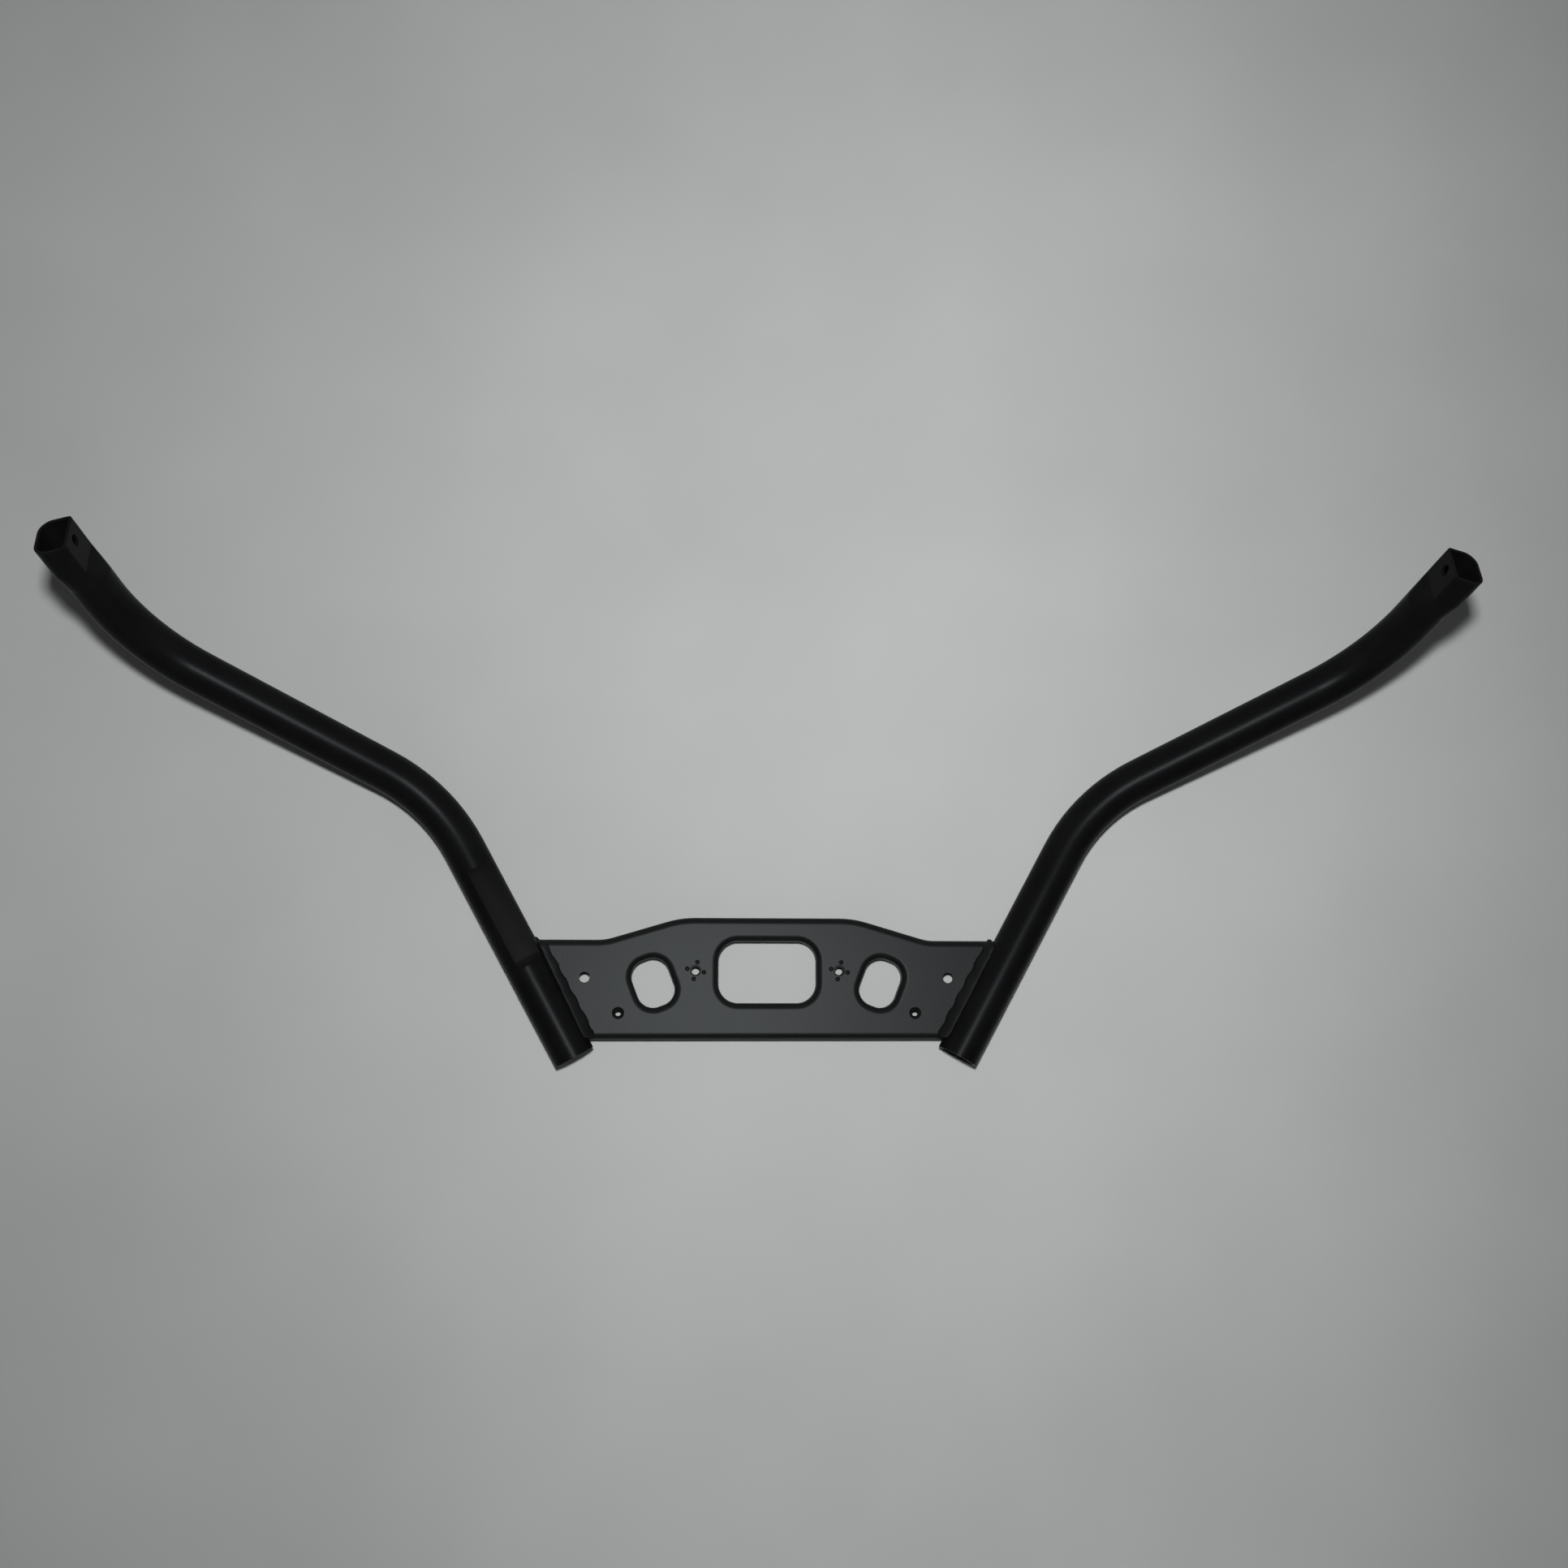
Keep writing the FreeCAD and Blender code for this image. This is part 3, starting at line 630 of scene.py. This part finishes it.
# %% [markdown]
# A tap cuts the grooves and leaves the ridge between them. Cutting a groove out of the bore is one
# way, but it leaves slivers, so the ridge is made instead. It starts a turn below the nut and ends
# a turn above it, so both faces cut through a full section.

# %% Thread
NUT_THICK = 0.0050
THREAD_PITCH = 0.0010
THREAD_ROOT = 0.0030
THREAD_CREST = 0.00246
RIDGE_SINK = 0.0001
RIDGE_FLANKS = 0.05, 0.375, 0.625, 0.95
STEPS_A_TURN = 40


def threaded_ridge():
    """The ridge between two grooves of the thread, flush with both faces of the nut."""
    foot_at = THREAD_ROOT + RIDGE_SINK
    radii = foot_at, THREAD_CREST, THREAD_CREST, foot_at
    section = [(radius, (share - 1) * THREAD_PITCH)
               for radius, share in zip(radii, RIDGE_FLANKS)]
    turns = round(NUT_THICK / THREAD_PITCH) + 2
    ridge = spun(section, turns, turns * STEPS_A_TURN, THREAD_PITCH)
    cut_away(ridge, (0, 0, 0), -AXIS)
    cut_away(ridge, AXIS * NUT_THICK, AXIS)
    mesh = bpy.data.meshes.new("ridge")
    ridge.to_mesh(mesh)
    ridge.free()
    return mesh


ridge = threaded_ridge()
print("ridge:", len(ridge.polygons), "faces")

# %% [markdown]
# The blank is spun, squared and eased on its four uprights, and the ridge is joined to it. A box
# with a bored hole would be quicker to make, but would lack the curved chamfers. The vertices of
# the ridge also carry a mark, for the finish that follows.

# %% Nuts
NUT_AT = Vector((0.044, 0.0025, 0.0041))
NUT_TURN = math.radians(57)
NUT_HALF_SIDE = 0.0050
NUT_EDGE = 0.0003
BLANK_RADIUS = 0.0078
CONE_RADIUS = 0.0054
CONE_DROP = 0.0014
LEAD_IN = 0.0003


def weld_nut(name, side):
    """A square nut and its thread behind the plate, on the LEFT or the RIGHT."""
    nut = spun([(THREAD_ROOT + LEAD_IN, 0.0), (BLANK_RADIUS, 0.0),
                (BLANK_RADIUS, NUT_THICK - CONE_DROP), (CONE_RADIUS, NUT_THICK),
                (THREAD_ROOT + LEAD_IN, NUT_THICK), (THREAD_ROOT, NUT_THICK - LEAD_IN),
                (THREAD_ROOT, LEAD_IN)], 1, 2 * STEPS_A_TURN)
    for quarter in range(4):
        outwards = Matrix.Rotation(quarter * math.pi / 2, 3, "Y") @ Vector((1, 0, 0))
        cut_away(nut, outwards * NUT_HALF_SIDE, outwards)
    reach = math.hypot(NUT_HALF_SIDE, NUT_HALF_SIDE) - NUT_EDGE
    uprights = [e for e in nut.edges
                if all(math.hypot(v.co.x, v.co.z) > reach for v in e.verts)
                and abs(e.verts[0].co.y - e.verts[1].co.y) > NUT_THICK / 2]
    bmesh.ops.bevel(nut, geom=uprights, offset=NUT_EDGE, segments=2, profile=0.5,
                    affect="EDGES", material=-1)
    bare = nut.verts.layers.float.new("bare")
    body_count = len(nut.verts)
    nut.from_mesh(ridge)
    for index, vert in enumerate(nut.verts):
        inside = LEAD_IN < vert.co.y < NUT_THICK - LEAD_IN
        vert[bare] = 1.0 if index >= body_count and inside else 0.0
    bmesh.ops.rotate(nut, verts=nut.verts, cent=(0, 0, 0),
                     matrix=Matrix.Rotation(NUT_TURN, 3, "Y"))
    bmesh.ops.translate(nut, verts=nut.verts, vec=NUT_AT * Vector((side, 1.0, 1.0)))
    made = new_object(name, nut)
    print(name, len(made.data.polygons), "faces,", len(uprights), "edges eased")
    return made


left_nut = weld_nut("left_nut", LEFT)
right_nut = weld_nut("right_nut", RIGHT)

# %% [markdown]
# Powder hardly gets into the thread. A second material on the ridge would end in a hard step, so
# the ridge is marked as bare when the nut is made, all but its two ends, and the mark fades the
# powder over to dark, oiled steel.

# %% Finish the nuts
BARE_STEEL = (0.060, 0.058, 0.055, 1)
BARE_ROUGHNESS = 0.50
# A Mix node's sockets share their names, so they are told apart by number
COLOUR_A, COLOUR_B, COLOUR_OUT = 6, 7, 2
NUMBER_A, NUMBER_B, NUMBER_OUT = 2, 3, 0
MIX_SHARE = 0


def bare_steel_where(finish, mark_name):
    """Let bare steel take over from a finish where a vertex mark says so."""
    steps, wires = finish.node_tree.nodes, finish.node_tree.links
    skin = steps["Principled BSDF"]
    mark = steps.new("ShaderNodeAttribute")
    mark.attribute_name = mark_name
    wires.new(mark.outputs["Fac"], skin.inputs["Metallic"])
    colour = steps.new("ShaderNodeMix")
    colour.data_type = "RGBA"
    wires.new(mark.outputs["Fac"], colour.inputs[MIX_SHARE])
    wires.new(skin.inputs["Base Color"].links[0].from_socket, colour.inputs[COLOUR_A])
    colour.inputs[COLOUR_B].default_value = BARE_STEEL
    wires.new(colour.outputs[COLOUR_OUT], skin.inputs["Base Color"])
    gloss = steps.new("ShaderNodeMix")
    wires.new(mark.outputs["Fac"], gloss.inputs[MIX_SHARE])
    wires.new(skin.inputs["Roughness"].links[0].from_socket, gloss.inputs[NUMBER_A])
    gloss.inputs[NUMBER_B].default_value = BARE_ROUGHNESS
    wires.new(gloss.outputs[NUMBER_OUT], skin.inputs["Roughness"])


bare_steel_where(nut_coat, "bare")
for nut in (left_nut, right_nut):
    nut.data.materials.append(nut_coat)
    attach(nut, "root")
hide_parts("left_weld_nut")
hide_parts("right_weld_nut")
print("nuts finished with", nut_coat.name)

# %% [markdown]
# ## Film on the left leg
#
# A thin matt film is stuck round the near side of the left leg, above the joint. It could be
# painted on the tube as a mask, but then it would have no edge, so it is a real sheet: one long
# edge of it is drawn along the tube, spun a quarter of the way round it, and given a thickness.

# %% Bend the film round the tube
FILM_LOW = 0.0610
FILM_HIGH = 0.1280
FILM_FROM = math.radians(-24.5)
FILM_TO = math.radians(61.0)
FILM_THICK = 0.00012
FILM_CUTS = 11
FILM_STEPS = 24

to_left = Vector((LEFT, 1, 1))
leg_foot = LEG_FOOT * to_left
leg_run = LEG_RUN * to_left
middle = leg_foot + leg_run * (FILM_LOW + FILM_HIGH) / 2
to_lens = CAMERA_AT - middle
to_lens = (to_lens - leg_run * to_lens.dot(leg_run)).normalized()
first_way = Matrix.Rotation(FILM_FROM, 3, leg_run) @ to_lens
film_sheet = bmesh.new()
ends = [film_sheet.verts.new(leg_foot + leg_run * s + first_way * (TUBE_RADIUS + FILM_THICK))
        for s in (FILM_LOW, FILM_HIGH)]
bmesh.ops.subdivide_edges(film_sheet, edges=[film_sheet.edges.new(ends)], cuts=FILM_CUTS)
bmesh.ops.spin(film_sheet, geom=list(film_sheet.verts) + list(film_sheet.edges), cent=leg_foot,
               axis=leg_run, angle=FILM_TO - FILM_FROM, steps=FILM_STEPS,
               use_duplicate=False)
bmesh.ops.recalc_face_normals(film_sheet, faces=film_sheet.faces)
if film_sheet.faces[0].normal.dot(first_way) < 0:
    bmesh.ops.reverse_faces(film_sheet, faces=film_sheet.faces)
bmesh.ops.solidify(film_sheet, geom=film_sheet.faces, thickness=FILM_THICK)
film = new_object("leg_film", film_sheet)
shade_smooth(film)
reach = [(v.co - leg_foot).cross(leg_run).length for v in film.data.vertices]
print("film from %.2f to %.2f mm off the axis" % (min(reach) * 1000, max(reach) * 1000))

# %% [markdown]
# Film is softer to look at than powder: it spreads the light so far that no bright line is left.
# Its colour is a little lighter than the coat, with a dark hem along the lower end, and it
# darkens towards its top. The hem could be a strip of its own, but on the real part it is the same
# film, so both are worked out in the material, from the height along the tube's run.

# %% Finish the film
FILM_DARK = (0.0068, 0.0068, 0.0071, 1)
FILM_LIGHT = (0.0096, 0.0096, 0.0100, 1)
HEM_COLOUR = (0.0034, 0.0034, 0.0037, 1)
HEM_WIDTH = 0.0050
HEM_FADE = 0.0006
FILM_TOP_LEVEL = 0.45
FILM_ROUGHNESS = 0.80
FILM_CLOUD = 70.0
FILM_PEEL = 0.00001

film_finish, steps, wires = new_material("film_finish")
skin = steps["Principled BSDF"]
skin.inputs["Roughness"].default_value = FILM_ROUGHNESS
skin.inputs["Specular IOR Level"].default_value = COAT_SHINE
cloud = place_group(steps, clouding, FILM_CLOUD)
tint = tint_between(steps, FILM_DARK, FILM_LIGHT)
wires.new(cloud.outputs["Cloud"], tint.inputs["Fac"])
spot = steps.new("ShaderNodeTexCoord")
along = steps.new("ShaderNodeVectorMath")
along.operation = "DOT_PRODUCT"
along.inputs[1].default_value = leg_run
wires.new(spot.outputs["Object"], along.inputs[0])
hem = steps.new("ShaderNodeMapRange")
hem_top = leg_foot.dot(leg_run) + FILM_LOW + HEM_WIDTH
hem.inputs["From Min"].default_value = hem_top - HEM_FADE
hem.inputs["From Max"].default_value = hem_top + HEM_FADE
wires.new(along.outputs["Value"], hem.inputs["Value"])
colour = steps.new("ShaderNodeMix")
colour.data_type = "RGBA"
wires.new(hem.outputs["Result"], colour.inputs[MIX_SHARE])
colour.inputs[COLOUR_A].default_value = HEM_COLOUR
wires.new(tint.outputs["Color"], colour.inputs[COLOUR_B])
upward = steps.new("ShaderNodeMapRange")
upward.inputs["From Min"].default_value = hem_top
upward.inputs["From Max"].default_value = leg_foot.dot(leg_run) + FILM_HIGH
upward.inputs["To Min"].default_value = 1.0
upward.inputs["To Max"].default_value = FILM_TOP_LEVEL
wires.new(along.outputs["Value"], upward.inputs["Value"])
toned = steps.new("ShaderNodeVectorMath")
toned.operation = "SCALE"
wires.new(colour.outputs[COLOUR_OUT], toned.inputs[0])
wires.new(upward.outputs["Result"], toned.inputs["Scale"])
wires.new(toned.outputs["Vector"], skin.inputs["Base Color"])
grain = place_group(steps, powder, PEEL_SCALE)
bump = steps.new("ShaderNodeBump")
bump.inputs["Distance"].default_value = FILM_PEEL
wires.new(grain.outputs["Peel"], bump.inputs["Height"])
wires.new(bump.outputs["Normal"], skin.inputs["Normal"])
film.data.materials.append(film_finish)
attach(film, "root")
print("film finished with", film_finish.name)
